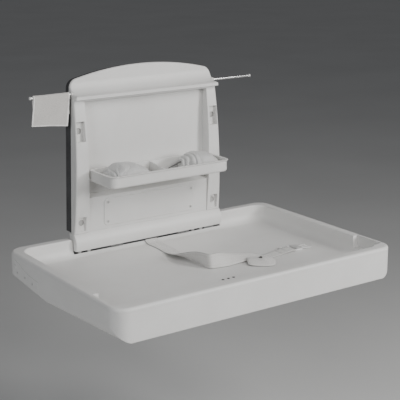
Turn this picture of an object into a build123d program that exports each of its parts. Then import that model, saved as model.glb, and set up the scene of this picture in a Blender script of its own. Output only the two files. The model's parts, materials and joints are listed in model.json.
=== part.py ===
"""Wall-mounted fold-down changing table, in millimetres.

The origin is the middle of the four wall bolts, on the wall's surface. X runs along the
wall, Y points into the wall and Z is up. Depths are measured from the bed's rear edge
and heights from the top of its rim, so these two datums place every piece.
"""
from build123d import *

import math
import os

os.makedirs("parts", exist_ok=True)

# Datums
rear_edge = -20.0        # Y of the bed's rear edge: it swings clear of the wall
rim_top = -177.0         # Z of the bed's rim, below the middle of the wall bolts
wall_depth = -rear_edge  # the wall, as a depth behind the bed's rear edge

# Bed
bed_width, bed_depth, bed_height = 890.0, 598.0, 88.0
bed_corner = 40.0        # corner radius in plan
rim_width = 29.0
cavity_depth = 50.0      # rim to floor
cove_radius = 26.0       # between the inner walls and the floor
cavity_corner = 36.0
shell_wall = 3.5
floor_wall = 3.0
skirt_height = 14.0      # where the upper shell meets the lower one
rear_height = 60.0       # the underside rises towards the wall
flat_from = -270.0       # and is level in front of this depth
tuck_width = 36.0        # the lower sides draw in towards the front
notch_half = 255.0       # gap in the rear rim for the wall panel
notch_depth = -36.0
notch_round = 8.0        # rounding of the rim's ends at the gap
half_width = bed_width / 2
inner_half = half_width - rim_width
floor_under = -cavity_depth - floor_wall

# Hinge line, under the bed's floor
hinge_depth, hinge_height = -76.0, -62.0
pin_radius, bush_radius, eye_radius = 4.0, 5.5, 8.5
running_gap = 0.05
arm_inner, arm_outer = 192.0, 204.0
lug_wall = 6.0
arm_half = 7.0           # half the arm's depth
arm_elbow = (-92.0, -106.0)
arm_heel = (-62.0, -120.0)

# Wall frame and its bolts
frame_half, frame_low = 233.0, -130.0
frame_inset = 3.5        # the frame stands in from the panel's outline
frame_flange = 196.0
steel = 2.0
panel_rear = -6.0
stile_rear, hood_rear = -16.0, -4.0      # the moulding's rim, with the frame behind it
bolt_x, bolt_upper, bolt_lower = 226.0, 309.0, 45.0
bolt_hole, sleeve_radius = 3.5, 6.5

# Wall panel
panel_low, panel_high = 15.0, 398.0
panel_foot, panel_head = 251.0, 238.0    # half widths at its foot and head
recess_half, recess_depth = 205.0, -14.0
recess_low, recess_high = 124.0, 391.0
ledge_height = 116.0
pocket_floor, pocket_wall = -31.0, 6.0
plug_radius, plug_sunk = 9.0, 3.0        # round plugs, set into the pockets' floors
arch_height = 479.0
shoulder_low, shoulder_mid, shoulder_top = (236.5, 428.0), (230.5, 443.5), (214.0, 453.0)
hood_face, hood_lip = -10.0, -50.5

# Towel rail
rail_radius = 3.5
rail_depth, rail_height = -20.0, 412.5
rail_left, rail_right = -361.0, 375.0

# Tray
tray_half, tray_rear, tray_front = 198.0, -36.5, -162.0
tray_low, tray_high = 163.0, 196.0
tray_wall, tray_corner = 3.0, 20.0
tray_pin_depth, tray_pin_height, tray_pin = -42.0, 172.0, 3.0

sides = {"left": -1, "right": 1}


def side_plane(x):
    """Upright plane across the wall at x: sketch points are (depth, height)."""
    return Plane(origin=(x, rear_edge, rim_top), x_dir=(0, 1, 0), z_dir=(1, 0, 0))


def front_plane(depth):
    """Upright plane along the wall: sketch points are (x, height), extruded forward."""
    return Plane(origin=(0, rear_edge + depth, rim_top), x_dir=(1, 0, 0), z_dir=(0, -1, 0))


def level(height):
    """Level plane: sketch points are (x, depth)."""
    return Plane(origin=(0, rear_edge, rim_top + height), x_dir=(1, 0, 0), z_dir=(0, 0, 1))


def spot(x, depth, height, turn=(0, 0, 0)):
    return Locations(Location((x, rear_edge + depth, rim_top + height), turn))


def middle(limits):
    return (limits[0] + limits[1]) / 2


def size(limits):
    return abs(limits[1] - limits[0])


def block(x, depth, height, mode=Mode.ADD):
    """A box given by its limits."""
    with spot(middle(x), middle(depth), middle(height)):
        Box(size(x), size(depth), size(height), mode=mode)


def rod_x(x, depth, height, radius, mode=Mode.ADD):
    with spot(middle(x), depth, height, (0, 90, 0)):
        Cylinder(radius, size(x), mode=mode)


def rod_y(x, depth, height, radius, mode=Mode.ADD):
    with spot(x, middle(depth), height, (90, 0, 0)):
        Cylinder(radius, size(depth), mode=mode)


def rod_z(x, depth, height, radius, mode=Mode.ADD):
    with spot(x, depth, middle(height)):
        Cylinder(radius, size(height), mode=mode)


def mirrored(point):
    return (-point[0], point[1])


def span(side, inner, outer):
    """Limits along X on one side of the middle."""
    return tuple(sorted((side * inner, side * outer)))


def link(start, end, half):
    """A straight bar between two points of a sketch, half its width to each side."""
    along = Vector(*end) - Vector(*start)
    across = Vector(-along.Y, along.X).normalized() * half
    a, b = Vector(*start), Vector(*end)
    corners = [a + across, b + across, b - across, a - across]
    Polygon(*[(c.X, c.Y) for c in corners], align=None)


def finish(builder, name):
    builder.part.label = name
    export_step(builder.part, f"parts/{name}.step")


# ---------------------------------------------------------------- wall frame

def wall_outline(inset, foot):
    """The panel and its arch from the front, down to a foot."""
    flank = [(panel_head - inset, panel_high)]
    if foot < panel_high:
        flank.append((panel_foot - inset, foot))
    shoulder = [(x - inset, height - inset) for x, height in (shoulder_low, shoulder_mid, shoulder_top)]
    with BuildLine() as outline:
        Polyline(mirrored(shoulder[0]), *[mirrored(point) for point in flank],
                 *reversed(flank), shoulder[0])
        ThreePointArc(*shoulder)
        ThreePointArc(shoulder[2], (0, arch_height - inset), mirrored(shoulder[2]))
        ThreePointArc(*[mirrored(point) for point in reversed(shoulder)])
    make_face(outline.edges())


with BuildPart() as mounting_frame:
    block((-frame_half, frame_half), (wall_depth - steel, wall_depth), (frame_low, panel_low))
    with BuildSketch(front_plane(wall_depth)):
        wall_outline(frame_inset, panel_low)
    extrude(amount=wall_depth - stile_rear - 0.3)
    with BuildSketch(front_plane(wall_depth - steel)):
        wall_outline(frame_inset + steel, panel_low - 1)
    extrude(amount=60, mode=Mode.SUBTRACT)
    block((-260, 260), (hood_rear + 0.3, stile_rear - 1), (panel_high, arch_height), Mode.SUBTRACT)
    for side in sides.values():
        flange = span(side, frame_flange, frame_flange + 2.5)
        block(flange, (panel_rear, wall_depth - steel), (-30, panel_high))
        for height in (bolt_upper, bolt_lower):
            rod_y(side * bolt_x, (wall_depth - steel - 1, wall_depth + 1), height,
                  bolt_hole, Mode.SUBTRACT)
finish(mounting_frame, "mounting_frame")

with BuildPart() as bolt_sleeves:
    sleeve_ends = (pocket_floor + pocket_wall, wall_depth - steel)
    for side in sides.values():
        for height in (bolt_upper, bolt_lower):
            rod_y(side * bolt_x, sleeve_ends, height, sleeve_radius)
            rod_y(side * bolt_x, sleeve_ends, height, bolt_hole, Mode.SUBTRACT)
finish(bolt_sleeves, "bolt_sleeves")

# ---------------------------------------------------------------- hinge arms
foot_half, foot_thick = 22.0, 6.0
foot_low, foot_high = -127.0, -40.0
foot_front = wall_depth - steel - foot_thick
arm_bolt_heights = (-54.0, -78.0, -102.0)
arm_bolt_offset, arm_bolt = 15.0, 3.0
arm_middle = (arm_inner + arm_outer) / 2

for name, side in sides.items():
    with BuildPart() as hinge_arm:
        with BuildSketch(side_plane(side * arm_inner)):
            link((foot_front, arm_heel[1]), arm_heel, arm_half)
            link(arm_heel, arm_elbow, arm_half)
            link(arm_elbow, (hinge_depth, hinge_height), arm_half)
            with Locations(arm_heel, arm_elbow):
                Circle(arm_half)
            with Locations((hinge_depth, hinge_height)):
                Circle(eye_radius)
            Polygon((foot_front, foot_high), (foot_front, arm_heel[1] + arm_half),
                    (-26.0, arm_heel[1] + arm_half), align=None)
        extrude(amount=side * (arm_outer - arm_inner))
        block(span(side, arm_middle - foot_half, arm_middle + foot_half),
              (foot_front, foot_front + foot_thick), (foot_low, foot_high))
        rod_x(span(side, arm_inner - 1, arm_outer + 1), hinge_depth, hinge_height,
              bush_radius, Mode.SUBTRACT)
        for height in arm_bolt_heights:
            for offset_x in (-arm_bolt_offset, arm_bolt_offset):
                rod_y(side * arm_middle + offset_x, (foot_front - 1, wall_depth), height,
                      arm_bolt, Mode.SUBTRACT)
    finish(hinge_arm, f"hinge_arm_{name}")

with BuildPart() as arm_bolts:
    for side in sides.values():
        for height in arm_bolt_heights:
            for offset_x in (-arm_bolt_offset, arm_bolt_offset):
                x = side * arm_middle + offset_x
                rod_y(x, (foot_front, wall_depth - steel), height, arm_bolt)
                with BuildSketch(front_plane(foot_front)):
                    with Locations((x, height)):
                        RegularPolygon(5.5, 6)
                extrude(amount=4.0)
finish(arm_bolts, "arm_bolts")

with BuildPart() as hinge_bushes:
    for side in sides.values():
        ends = span(side, arm_inner - 1.2, arm_outer + 1.2)
        rod_x(ends, hinge_depth, hinge_height, bush_radius)
        rod_x(ends, hinge_depth, hinge_height, pin_radius + running_gap, Mode.SUBTRACT)
finish(hinge_bushes, "hinge_bushes")

# A bar over the bed's rear edge is the stop that carries the open bed.
stop_half, stop_front, stop_low, stop_high = 174.0, -39.5, -33.0, -29.0
pad_low = -41.35         # just over the edge of the bed's floor
with BuildPart() as stop_bar:
    block((-stop_half, stop_half), (stop_front, wall_depth - steel), (stop_low, stop_high))
    block((-stop_half, stop_half), (wall_depth - steel - 3, wall_depth - steel),
          (stop_high, -14))
finish(stop_bar, "stop_bar")

with BuildPart() as stop_pads:
    for side in sides.values():
        block(span(side, 96, 136), (stop_front, notch_depth + 1.5), (pad_low, stop_low))
finish(stop_pads, "stop_pads")

# ---------------------------------------------------------------- wall panel
stile_low, stile_middle, stile_high = (-36.0, 14.0), (-48.5, 190.0), (-34.0, 399.0)
clear_front = -70.0
panel_face_foot, panel_face_head = (-33.5, 14.0), (-40.0, ledge_height)

with BuildPart() as back_panel:
    with BuildSketch(front_plane(panel_rear)):
        Polygon((-panel_foot, panel_low), (panel_foot, panel_low),
                (panel_head, panel_high), (-panel_head, panel_high), align=None)
    extrude(amount=46.0)
    # The stiles' front bows out gently between its foot and its head.
    with BuildSketch(side_plane(0)):
        with BuildLine():
            ThreePointArc(stile_low, stile_middle, stile_high)
            Polyline(stile_high, (clear_front, stile_high[1]),
                     (clear_front, stile_low[1]), stile_low)
        make_face()
    extrude(amount=panel_foot + 5, both=True, mode=Mode.SUBTRACT)
    corners = back_panel.edges().filter_by(lambda e: e.length > 300).sort_by(Axis.Y)[0:2]
    fillet(corners, 4.0)
    # The recess behind the tray, its ledge, and the flat face under the ledge.
    with BuildSketch(side_plane(0)):
        Polygon((recess_depth, recess_high), (clear_front, recess_high),
                (clear_front, panel_low - 1), panel_face_foot, panel_face_head,
                (recess_depth, recess_low), align=None)
    extrude(amount=recess_half, both=True, mode=Mode.SUBTRACT)
    # Hollow from behind.
    block((-190, 190), (panel_rear, recess_depth + 4), (recess_low, recess_high - 6), Mode.SUBTRACT)
    block((-190, 190), (panel_rear, -29.5), (panel_low + 5, ledge_height - 10), Mode.SUBTRACT)
    for side in sides.values():
        block(span(side, recess_half + 4, panel_foot + 5), (stile_rear, panel_rear + 1),
              (panel_low - 1, panel_high + 1), Mode.SUBTRACT)
        block(span(side, recess_half + 4, panel_head - 4), (panel_rear, pocket_floor + pocket_wall),
              (panel_low + 5, panel_high - 8), Mode.SUBTRACT)
        rod_x(span(side, recess_half - 1, recess_half + 9), tray_pin_depth, tray_pin_height,
              5.0, Mode.SUBTRACT)
        # Bolt pockets, with an access hole that a round plug closes.
        block(span(side, 211, 237), (clear_front, pocket_floor), (280, 337), Mode.SUBTRACT)
        block(span(side, 214.5, 240.5), (clear_front, pocket_floor), (21, 63), Mode.SUBTRACT)
        for height in (bolt_upper, bolt_lower):
            rod_y(side * bolt_x, (pocket_floor - 1, panel_rear), height, plug_radius, Mode.SUBTRACT)
    # Access behind the service cover.
    block((-140, 140), (-45, panel_rear), (36, 96), Mode.SUBTRACT)
finish(back_panel, "back_panel")

with BuildPart() as bolt_plugs:
    for side in sides.values():
        for height in (bolt_upper, bolt_lower):
            rod_y(side * bolt_x, (pocket_floor + plug_sunk, pocket_floor + pocket_wall), height,
                  plug_radius)
    rims = bolt_plugs.edges().filter_by(GeomType.CIRCLE).group_by(Axis.Y)[0]
    fillet(rims, 0.8)
finish(bolt_plugs, "bolt_plugs")

with BuildPart() as tray_bushes:
    for side in sides.values():
        ends = span(side, recess_half, recess_half + 9)
        rod_x(ends, tray_pin_depth, tray_pin_height, 5.0)
        rod_x(ends, tray_pin_depth, tray_pin_height, tray_pin + running_gap, Mode.SUBTRACT)
finish(tray_bushes, "tray_bushes")

# ---------------------------------------------------------------- hood
cove_top, cove_mid, cove_foot = (hood_face, 444.0), (-20.25, 419.25), (-45.0, 409.0)
lip_top = 406.5


with BuildPart() as top_hood:
    with BuildSketch(front_plane(hood_rear)):
        wall_outline(0, panel_high)
    extrude(amount=hood_rear - hood_lip)
    # The cove sweeps from the upright face down and out to the lip.
    with BuildSketch(side_plane(0)):
        with BuildLine():
            ThreePointArc(cove_top, cove_mid, cove_foot)
            Polyline(cove_foot, (hood_lip, lip_top), (clear_front, lip_top),
                     (clear_front, 500), (hood_face, 500), cove_top)
        make_face()
    extrude(amount=260, both=True, mode=Mode.SUBTRACT)
    arch_edges = top_hood.edges().filter_by(lambda e: e.center().Z > rim_top + 432)
    arch_edges = arch_edges.filter_by(lambda e: abs(e.center().Y - rear_edge - hood_face) < 0.5)
    fillet(arch_edges.filter_by(GeomType.CIRCLE), 5.0)
    # Hollow behind the cove.
    with BuildSketch(side_plane(0)):
        Polygon((panel_rear - 3, panel_high - 1), (panel_rear - 3, 427), (-12, 427), (-18, 414.5),
                (-31, 406), (-45, 402.5), (-45, panel_high - 1), align=None)
    extrude(amount=230, both=True, mode=Mode.SUBTRACT)
    rod_x((-260, 260), rail_depth, rail_height, rail_radius, Mode.SUBTRACT)
    for side in sides.values():
        rod_x(span(side, 230, 260), rail_depth, rail_height, 6.0, Mode.SUBTRACT)
finish(top_hood, "top_hood")

with BuildPart() as hood_brackets:
    for side in sides.values():
        for x in (60.0, 160.0):
            tab = span(side, x, x + 30)
            block(tab, (hood_rear + 0.2, hood_rear + 2.2), (404, 440))
            block(tab, (hood_rear + 2.2, wall_depth - steel), (404, 406))
finish(hood_brackets, "hood_brackets")

# ---------------------------------------------------------------- towel rail
with BuildPart() as towel_rail:
    rod_x((rail_left, rail_right), rail_depth, rail_height, rail_radius)
finish(towel_rail, "towel_rail")

with BuildPart() as rail_end_caps:
    rod_x((rail_left - 4, rail_left), rail_depth, rail_height, rail_radius + 1)
    rod_x((rail_right, rail_right + 4), rail_depth, rail_height, rail_radius + 1)
    ends = rail_end_caps.edges().filter_by(GeomType.CIRCLE).sort_by(Axis.X)
    fillet([ends[0], ends[-1]], 1.5)
finish(rail_end_caps, "rail_end_caps")

with BuildPart() as rail_bushes:
    for side in sides.values():
        ends = span(side, 230, 239.5)
        rod_x(ends, rail_depth, rail_height, 6.0)
        rod_x(ends, rail_depth, rail_height, rail_radius, Mode.SUBTRACT)
finish(rail_bushes, "rail_bushes")

# The towel hangs over the rail in two layers, the rear one shorter.
towel_left, towel_right = -354.0, -248.0
cloth, cloth_gap = 3.0, 0.4
towel_front_foot, towel_rear_foot = 330.0, 352.0
with BuildPart() as towel:
    inner_turn = rail_radius + cloth_gap
    outer_turn = inner_turn + cloth
    with BuildSketch(side_plane(towel_left)):
        with BuildLine():
            Polyline((rail_depth - inner_turn, rail_height), (rail_depth - inner_turn, towel_front_foot),
                     (rail_depth - outer_turn, towel_front_foot), (rail_depth - outer_turn, rail_height))
            ThreePointArc((rail_depth - outer_turn, rail_height), (rail_depth, rail_height + outer_turn),
                          (rail_depth + outer_turn, rail_height))
            Polyline((rail_depth + outer_turn, rail_height), (rail_depth + outer_turn, towel_rear_foot),
                     (rail_depth + inner_turn, towel_rear_foot), (rail_depth + inner_turn, rail_height))
            ThreePointArc((rail_depth + inner_turn, rail_height), (rail_depth, rail_height + inner_turn),
                          (rail_depth - inner_turn, rail_height))
        make_face()
    extrude(amount=towel_right - towel_left)
finish(towel, "towel")

# ---------------------------------------------------------------- lower covers
roll_half, roll_low, roll_top = 252.0, -34.0, panel_low - 0.3
with BuildPart() as lower_cover:
    for reach, outline in ((roll_half, 0.0), (roll_half - 3, 3.0)):
        with BuildSketch(side_plane(0)):
            top, front, foot = (-33.0, roll_top), (-47.0, -8.0), (-43.0, roll_low)
            with BuildLine():
                ThreePointArc((top[0] + outline, top[1] - outline), (front[0] + outline, front[1]),
                              (foot[0] + outline, foot[1]))
                Polyline((foot[0] + outline, foot[1]), (panel_rear, foot[1]),
                         (panel_rear, top[1] - outline), (top[0] + outline, top[1] - outline))
            make_face()
        extrude(amount=reach, both=True, mode=Mode.SUBTRACT if outline else Mode.ADD)
finish(lower_cover, "lower_cover")

face_middle = 66.0
face_rise = Vector(0, panel_face_head[0] - panel_face_foot[0], panel_face_head[1] - panel_face_foot[1])
face_share = (face_middle - panel_face_foot[1]) / face_rise.Z
face_depth = panel_face_foot[0] + face_share * face_rise.Y
face_normal = Vector(1, 0, 0).cross(face_rise).normalized()
if face_normal.Y > 0:
    face_normal = face_normal * -1
cover_plane = Plane(origin=(0, rear_edge + face_depth, rim_top + face_middle),
                    x_dir=(1, 0, 0), z_dir=tuple(face_normal))
cover_width, cover_tall, cover_thick = 311.0, 82.0, 2.6
screw_x, screw_z = 143.0, 29.0

with BuildPart() as service_cover:
    with BuildSketch(cover_plane):
        RectangleRounded(cover_width, cover_tall, 13.0)
    extrude(amount=cover_thick)
    front_face = service_cover.faces().sort_by(SortBy.AREA)[-2:].sort_by(Axis.Y)[0]
    chamfer(front_face.edges(), 1.6)
    with BuildSketch(cover_plane):
        Rectangle(276.0, 56.0)
    extrude(amount=-2.5)
    with Locations(cover_plane):
        with GridLocations(2 * screw_x, 2 * screw_z, 2, 2):
            Cylinder(4.2, 12.0, mode=Mode.SUBTRACT)
finish(service_cover, "service_cover")

with BuildPart() as service_cover_screws:
    with Locations(cover_plane):
        with GridLocations(2 * screw_x, 2 * screw_z, 2, 2):
            Cylinder(4.2, 2.0, align=(Align.CENTER, Align.CENTER, Align.MIN))
    with BuildSketch(cover_plane.offset(2.0)):
        with GridLocations(2 * screw_x, 2 * screw_z, 2, 2):
            RegularPolygon(2.0, 6)
    extrude(amount=-1.2, mode=Mode.SUBTRACT)
finish(service_cover_screws, "service_cover_screws")

# ---------------------------------------------------------------- tray
tray_mid = (tray_rear + tray_front) / 2
tray_long = tray_rear - tray_front


with BuildPart() as tray_shell:
    with BuildSketch(level(tray_low)) as outline:
        with Locations((0, tray_mid)):
            Rectangle(2 * tray_half, tray_long)
        fillet(outline.vertices().group_by(Axis.Y)[0], tray_corner)
    extrude(amount=tray_high - tray_low)
    fillet(tray_shell.faces().sort_by(Axis.Z)[0].edges(), 6.0)
    with BuildSketch(level(tray_low + tray_wall)) as inside:
        with Locations((0, tray_mid)):
            Rectangle(2 * (tray_half - tray_wall), tray_long - 2 * tray_wall)
        fillet(inside.vertices().group_by(Axis.Y)[0], tray_corner - tray_wall)
    extrude(amount=tray_high, mode=Mode.SUBTRACT)
    for side in sides.values():
        rod_x(span(side, tray_half - 4, tray_half + 1), tray_pin_depth, tray_pin_height,
              tray_pin, Mode.SUBTRACT)
finish(tray_shell, "tray_shell")

liner_inset, liner_wall, lip = 3.3, 1.8, 4.0
with BuildPart() as tray_liner:
    with BuildSketch(level(tray_low + tray_wall + 0.3)) as outline:
        with Locations((0, tray_mid)):
            Rectangle(2 * (tray_half - liner_inset), tray_long - 2 * liner_inset)
        fillet(outline.vertices().group_by(Axis.Y)[0], tray_corner - liner_inset)
    extrude(amount=tray_high - tray_low - tray_wall)
    with BuildSketch(level(tray_high)) as flange:
        with Locations((0, tray_mid - lip / 2)):
            Rectangle(2 * (tray_half + lip), tray_long + lip)
        fillet(flange.vertices().group_by(Axis.Y)[0], tray_corner + lip)
    extrude(amount=2.0)
    with BuildSketch(level(tray_low + tray_wall + 0.3 + liner_wall)) as inside:
        with Locations((0, tray_mid)):
            Rectangle(2 * (tray_half - liner_inset - liner_wall),
                      tray_long - 2 * (liner_inset + liner_wall))
        fillet(inside.vertices().group_by(Axis.Y)[0], tray_corner - liner_inset - liner_wall)
    extrude(amount=tray_high, mode=Mode.SUBTRACT)
finish(tray_liner, "tray_liner")

liner_floor = tray_low + tray_wall + 0.3 + liner_wall
with BuildPart() as tray_divider:
    ends = (tray_front + liner_inset + liner_wall, tray_rear - liner_inset - liner_wall)
    with BuildSketch(side_plane(-1.5)):
        Polygon((ends[0], liner_floor), (ends[1], liner_floor), (ends[1], tray_high + 1),
                (ends[0], tray_high - 12), align=None)
    extrude(amount=3.0)
finish(tray_divider, "tray_divider")

with BuildPart() as tray_pivot_pins:
    for side in sides.values():
        rod_x(span(side, tray_half - tray_wall, recess_half + 7), tray_pin_depth,
              tray_pin_height, tray_pin)
finish(tray_pivot_pins, "tray_pivot_pins")

pack_ends = {"left": (-188.0, -34.0), "right": (62.0, 190.0)}
pack_top = 222.0
for name, ends in pack_ends.items():
    with BuildPart() as soft_pack:
        block(ends, (-150, -52), (liner_floor + 0.3, pack_top))
        fillet(soft_pack.edges().filter_by(Axis.X), 16.0)
    finish(soft_pack, f"soft_pack_{name}")

# ---------------------------------------------------------------- bed shells


def bed_plan(inset):
    with Locations((0, -bed_depth / 2)):
        RectangleRounded(bed_width - 2 * inset, bed_depth - 2 * inset, bed_corner - inset)


def cavity_form(wall, top):
    """The bed's inside, or with a wall the solid around it."""
    with BuildPart() as form:
        with BuildSketch(level(top)):
            with Locations((0, -bed_depth / 2)):
                RectangleRounded(2 * (inner_half + wall), bed_depth - 2 * (rim_width - wall),
                                 cavity_corner + wall)
        extrude(amount=-(top + cavity_depth + min(wall, floor_wall)))
        fillet(form.faces().sort_by(Axis.Z)[0].edges(), cove_radius + wall)
    return form.part


def underside_form(inset):
    """The bed below the rim's skirt, or with an inset the hollow inside it."""
    with BuildPart() as form:
        with BuildSketch(level(-skirt_height)):
            bed_plan(inset)
        extrude(amount=-(bed_height - skirt_height))
        with BuildSketch(side_plane(0)):
            Polygon((10, inset - rear_height), (flat_from, inset - bed_height),
                    (-bed_depth - 10, inset - bed_height), (-bed_depth - 10, -bed_height - 20),
                    (10, -bed_height - 20), align=None)
        extrude(amount=half_width + 10, both=True, mode=Mode.SUBTRACT)
        block((-notch_half - inset, notch_half + inset), (notch_depth - inset, 10),
              (-bed_height - 1, 0), Mode.SUBTRACT)
        for side in sides.values():
            low = -bed_height - 1
            edge = half_width - inset
            with BuildSketch(front_plane(-bed_depth - 1)):
                with BuildLine():
                    ThreePointArc((side * (edge + 1), -42), (side * (edge - 9), -67),
                                  (side * (edge - tuck_width - 6), low))
                    Polyline((side * (edge - tuck_width - 6), low), (side * (edge + 1), low),
                             (side * (edge + 1), -42))
                make_face()
            with BuildSketch(front_plane(flat_from + 30)):
                with BuildLine():
                    ThreePointArc((side * (edge + 1), -78), (side * (edge - 1.5), -84),
                                  (side * (edge - 7), low))
                    Polyline((side * (edge - 7), low), (side * (edge + 1), low),
                             (side * (edge + 1), -78))
                make_face()
            loft(mode=Mode.SUBTRACT)
    return form.part


grip_rear, grip_front, ramp_front = -461.0, -530.0, -562.0
grip_outer, grip_floor, grip_wall = inner_half + 18.0, -36.0, 2.0


def grip_outline(wall):
    Polygon((grip_rear - wall, 5), (grip_rear - wall, grip_floor + wall),
            (grip_front + wall / 2, grip_floor + wall), (ramp_front + wall, 0),
            (ramp_front + wall, 5), align=None)


screw_columns = (-385.0, -280.0, -120.0, 120.0, 280.0, 385.0)
screw_rows = (-300.0, -450.0, -530.0)
anchor_screw_x, anchor_screw_height, anchor_screw = 26.0, -54.0, 1.6
anchor_screw_ends = (notch_depth - 5.0, notch_depth + 1.6)
screw_spots = [(x, depth) for x in screw_columns for depth in screw_rows
               if abs(x) < 300 or depth > -500]
drain_spots = [(-26.0, -440.0), (-8.5, -440.0), (9.0, -440.0)]
cavity_skin = cavity_form(shell_wall, 0)
cavity_space = cavity_form(0, 5)

with BuildPart() as bed_upper_shell:
    with BuildSketch(level(-skirt_height)):
        bed_plan(0)
    extrude(amount=skirt_height)
    fillet(bed_upper_shell.faces().sort_by(Axis.Z)[-1].edges(), 8.0)
    with BuildSketch(level(-skirt_height)):
        bed_plan(shell_wall)
        with Locations((0, notch_depth / 2)):
            Rectangle(2 * (notch_half + shell_wall), -notch_depth + 2 * shell_wall, mode=Mode.SUBTRACT)
    extrude(amount=skirt_height - shell_wall, mode=Mode.SUBTRACT)
    add(cavity_skin)
    add(cavity_space, mode=Mode.SUBTRACT)
    fillet(bed_upper_shell.faces().sort_by(Axis.Z)[-1].inner_wires()[0].edges(), 4.0)
    # Below the wall panel the rim is left out.
    block((-notch_half, notch_half), (notch_depth, 5), (-bed_height, 5), Mode.SUBTRACT)
    for side in sides.values():
        with BuildSketch(front_plane(2)):
            near, far = notch_half, notch_half + notch_round
            slant = notch_round * (1 - math.sqrt(0.5))
            with BuildLine():
                ThreePointArc((side * near, -notch_round), (side * (near + slant), -slant),
                              (side * far, 0))
                Polyline((side * far, 0), (side * far, 1), (side * (near - 1), 1),
                         (side * (near - 1), -notch_round), (side * near, -notch_round))
            make_face()
        extrude(amount=2 - notch_depth, mode=Mode.SUBTRACT)
        with BuildSketch(side_plane(side * (inner_half - 20))):
            grip_outline(0)
        extrude(amount=side * (grip_outer - inner_half + 20), mode=Mode.SUBTRACT)
    for x, depth in screw_spots:
        rod_z(x, depth, (floor_under, -bed_height + shell_wall), 5.0)
        rod_z(x, depth, (-bed_height, floor_under - 5), 1.8, Mode.SUBTRACT)
    for x, depth in drain_spots:
        rod_z(x, depth, (floor_under - 1, -cavity_depth + 1), 4.0, Mode.SUBTRACT)
finish(bed_upper_shell, "bed_upper_shell")

well_inner, well_outer, well_front = 146.0, 218.0, -100.0
with BuildPart() as bed_lower_shell:
    add(underside_form(0))
    add(underside_form(shell_wall), mode=Mode.SUBTRACT)
    add(cavity_skin, mode=Mode.SUBTRACT)
    for side in sides.values():
        rod_y(side * anchor_screw_x, anchor_screw_ends, anchor_screw_height, anchor_screw,
              Mode.SUBTRACT)
    # Wells under the floor for the hinges.
    for side in sides.values():
        block(span(side, well_inner, well_outer), (well_front, notch_depth + 5),
              (-bed_height - 1, -20), Mode.SUBTRACT)
    for x, depth in screw_spots:
        rod_z(x, depth, (-bed_height - 1, -bed_height + 8), 1.8, Mode.SUBTRACT)
finish(bed_lower_shell, "bed_lower_shell")

with BuildPart() as shell_screws:
    for x, depth in screw_spots:
        rod_z(x, depth, (-bed_height - 1.8, -bed_height), 4.0)
        rod_z(x, depth, (-bed_height, floor_under - 8), 1.8)
finish(shell_screws, "shell_screws")

for name, side in sides.items():
    with BuildPart() as grip_liner:
        with BuildSketch(side_plane(side * inner_half)):
            grip_outline(0)
        extrude(amount=side * (grip_outer - inner_half))
        with BuildSketch(side_plane(side * (inner_half - 5))):
            grip_outline(grip_wall)
        extrude(amount=side * (grip_outer - grip_wall - inner_half + 5), mode=Mode.SUBTRACT)
        block(span(side, inner_half - 10, grip_outer + 10), (ramp_front - 10, grip_rear + 10),
              (0, 20), Mode.SUBTRACT)
    finish(grip_liner, f"grip_liner_{name}")

with BuildPart() as drain_bushes:
    for x, depth in drain_spots:
        rod_z(x, depth, (floor_under, -cavity_depth + 0.6), 4.0)
        rod_z(x, depth, (floor_under, -cavity_depth + 0.6), 2.4, Mode.SUBTRACT)
finish(drain_bushes, "drain_bushes")

# ---------------------------------------------------------------- bed frame and hinge
bar_thick = 3.0
bar_low = floor_under - bar_thick
lug_inner = (arm_inner - 2 - lug_wall, arm_inner - 2)
lug_outer = (arm_outer + 2, arm_outer + 2 + lug_wall)
lug_rear, lug_front = -63.0, -92.0

with BuildPart() as bed_frame:
    for side in sides.values():
        block(span(side, lug_inner[0], lug_outer[1]), (-420, -63), (bar_low, floor_under))
        block(span(side, arm_inner - 1.5, arm_outer + 1.5), (-90, -60),
              (bar_low - 1, floor_under + 1), Mode.SUBTRACT)
    for rear in (-104.0, -380.0):
        block((-330, 330), (rear - 40, rear), (bar_low, floor_under))
finish(bed_frame, "bed_frame")

with BuildPart() as hinge_lugs:
    for side in sides.values():
        for limits in (lug_inner, lug_outer):
            x = span(side, *limits)
            block(x, (lug_front, lug_rear), (hinge_height, bar_low))
            rod_x(x, hinge_depth, hinge_height, eye_radius)
            block(x, (lug_front, lug_rear), (bar_low, bar_low + 20), Mode.SUBTRACT)
            rod_x(x, hinge_depth, hinge_height, pin_radius, Mode.SUBTRACT)
finish(hinge_lugs, "hinge_lugs")

with BuildPart() as hinge_pins:
    for side in sides.values():
        rod_x(span(side, lug_inner[0] - 6, lug_outer[1] + 2), hinge_depth, hinge_height, pin_radius)
finish(hinge_pins, "hinge_pins")

damper_inner = 150.0
with BuildPart() as hinge_dampers:
    for side in sides.values():
        rod_x(span(side, damper_inner, lug_inner[0]), hinge_depth, hinge_height, eye_radius)
        rod_x(span(side, lug_inner[0] - 6, lug_inner[0]), hinge_depth, hinge_height,
              pin_radius, Mode.SUBTRACT)
finish(hinge_dampers, "hinge_dampers")

with BuildPart() as frame_nuts:
    for depth in (-124.0, -400.0):
        for x in (-300.0, -240.0, 0.0, 240.0, 300.0):
            with BuildSketch(level(bar_low)):
                with Locations((x, depth)):
                    RegularPolygon(5.0, 6)
            extrude(amount=-4.0)
finish(frame_nuts, "frame_nuts")

# ---------------------------------------------------------------- side covers
cover_out = 1.2
cap_depth, cap_height = -54.0, -36.0
side_screws = [(-68.0, -50.0), (-114.0, -52.0), (-158.0, -58.0)]
for name, side in sides.items():
    with BuildPart() as side_cover:
        with BuildSketch(side_plane(side * half_width)):
            with BuildLine():
                Polyline((-188, -70), (-188, -44), (-150, -40.5))
                Spline((-150, -40.5), (-108, -33), (-78, -23.5), (-60, -18.5), (-44, -18))
                Polyline((-44, -18), (-44, -57), (-188, -70))
            make_face()
        extrude(amount=side * cover_out)
    finish(side_cover, f"side_cover_{name}")

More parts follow.
